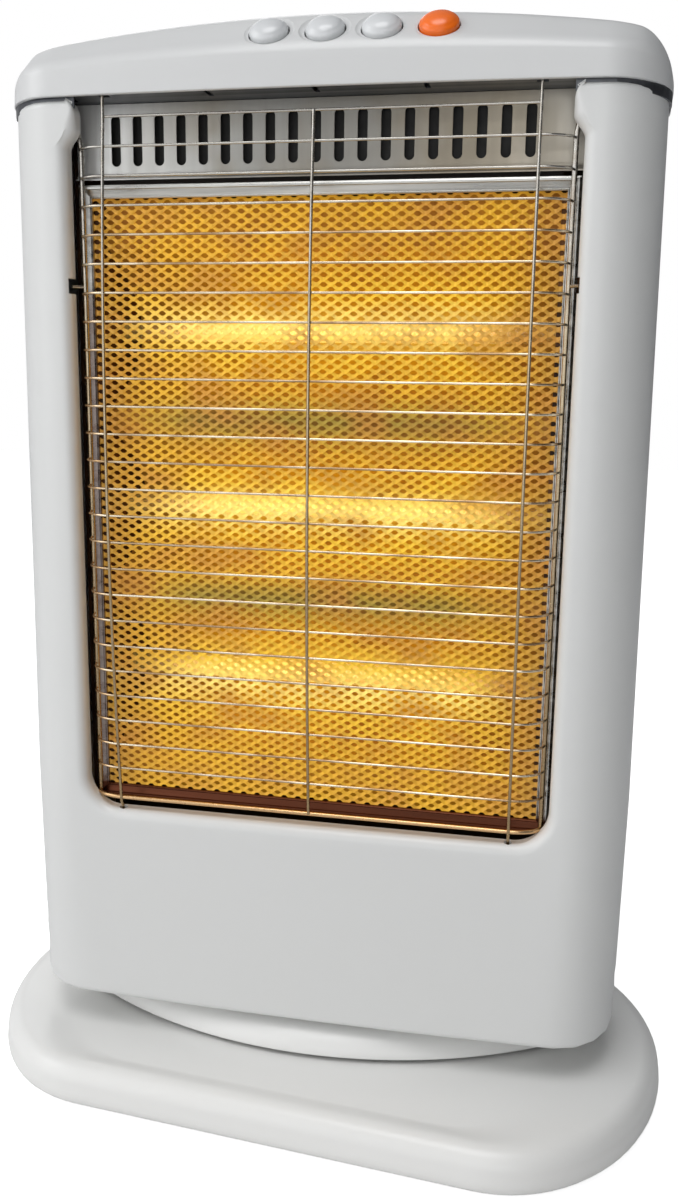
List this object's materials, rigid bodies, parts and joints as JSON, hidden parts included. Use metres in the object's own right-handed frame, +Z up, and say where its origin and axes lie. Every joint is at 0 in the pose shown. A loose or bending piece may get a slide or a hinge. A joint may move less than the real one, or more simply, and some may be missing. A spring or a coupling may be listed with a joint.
{
  "type": "halogen heater",
  "caption": "Upright oscillating halogen heater with horizontal lamps behind a net and wire guard, push buttons on a domed cover and a wide oval base.",
  "frame": {"origin": "on the floor, on the vertical axis that the body turns on, at the middle of the base", "axes": "+Z up; the heater's front looks along -Y; +X to the right of someone facing the front; the base stands turned 5.4 degrees clockwise, seen from above"},
  "size_m": [0.3628, 0.2302, 0.529],
  "materials": {
    "shell": "white moulded plastic, gloss",
    "button_white": "white moulded plastic, gloss",
    "button_orange": "orange moulded plastic, gloss",
    "guard_chrome": "bright plated wire",
    "sheet_steel": "bright rolled sheet",
    "dark_steel": "dark grey sheet",
    "net_gold": "expanded metal, lit gold by the lamps",
    "reflector_gold": "polished reflector, lit gold by the lamps",
    "quartz": "clear quartz tube",
    "filament": "glowing tungsten",
    "ceramic": "matt steatite",
    "dark_plastic": "black moulded plastic, matt",
    "rubber": "black rubber"
  },
  "bodies": {
    "base": {"base_shell": "shell", "base_bottom_plate": "dark_steel", "foot_1": "rubber", "foot_2": "rubber", "foot_3": "rubber", "foot_4": "rubber", "base_screw_1": "sheet_steel", "base_screw_2": "sheet_steel", "base_screw_3": "sheet_steel", "base_screw_4": "sheet_steel", "pivot_tube": "sheet_steel", "pivot_nut": "sheet_steel", "swing_arm": "dark_plastic", "tip_switch": "dark_plastic"},
    "tip_plunger": {"tip_plunger": "button_orange"},
    "heater": {"bottom_cover": "shell", "front_panel": "shell", "rear_cover": "shell", "rear_screw_1": "dark_steel", "rear_screw_2": "dark_steel", "rear_screw_3": "dark_steel", "rear_screw_4": "dark_steel", "cord_gland": "dark_plastic", "top_cover": "shell", "top_shelf": "dark_steel", "switch_bracket": "sheet_steel", "switch_1": "dark_plastic", "switch_2": "dark_plastic", "switch_3": "dark_plastic", "switch_4": "dark_plastic", "thermal_cutout": "dark_plastic", "guard_grille": "guard_chrome", "mesh_net": "net_gold", "mesh_frame": "sheet_steel", "louver_plate": "sheet_steel", "reflector": "reflector_gold", "reflector_end_left": "sheet_steel", "reflector_end_right": "sheet_steel", "lamp_bracket_left": "dark_steel", "lamp_bracket_right": "dark_steel", "heat_shield": "sheet_steel", "lamp_tube_1": "quartz", "lamp_tube_2": "quartz", "lamp_tube_3": "quartz", "lamp_filament_1": "filament", "lamp_filament_2": "filament", "lamp_filament_3": "filament", "lamp_cap_1_left": "ceramic", "lamp_cap_1_right": "ceramic", "lamp_cap_2_left": "ceramic", "lamp_cap_2_right": "ceramic", "lamp_cap_3_left": "ceramic", "lamp_cap_3_right": "ceramic", "terminal_block": "ceramic", "swivel_motor": "sheet_steel"},
    "crank": {"motor_crank": "dark_plastic"},
    "button_1": {"button_1": "button_white"},
    "button_2": {"button_2": "button_white"},
    "button_3": {"button_3": "button_white"},
    "button_4": {"button_4": "button_orange"}
  },
  "joints": [
    {"name": "swivel", "type": "hinge", "parent": "base", "child": "heater", "pos_m": [0, 0, 0.04], "axis": [0, 0, 1], "range_deg": [-40.4, 29.6]},
    {"name": "crank_turn", "type": "hinge", "parent": "heater", "child": "crank", "pos_m": [0.039, 0, 0.033], "axis": [0, 0, 1], "range_deg": [-106, 144.6]},
    {"name": "button_1_press", "type": "slide", "parent": "heater", "child": "button_1", "axis": [0, 0.682, -0.7314], "range_m": [0, 0.003], "stiffness_N_per_m": 300, "springref_m": -0.001},
    {"name": "button_2_press", "type": "slide", "parent": "heater", "child": "button_2", "axis": [0, 0.682, -0.7314], "range_m": [0, 0.003], "stiffness_N_per_m": 300, "springref_m": -0.001},
    {"name": "button_3_press", "type": "slide", "parent": "heater", "child": "button_3", "axis": [0, 0.682, -0.7314], "range_m": [0, 0.003], "stiffness_N_per_m": 300, "springref_m": -0.001},
    {"name": "button_4_press", "type": "slide", "parent": "heater", "child": "button_4", "axis": [0, 0.682, -0.7314], "range_m": [0, 0.003], "stiffness_N_per_m": 300, "springref_m": -0.001},
    {"name": "plunger_drop", "type": "slide", "parent": "base", "child": "tip_plunger", "axis": [0, 0, 1], "range_m": [-0.004, 0], "stiffness_N_per_m": 60, "springref_m": -0.006}
  ],
  "couplings": [
    {"joint": "crank_turn", "follows": "swivel", "ratio": -3.5714}
  ]
}
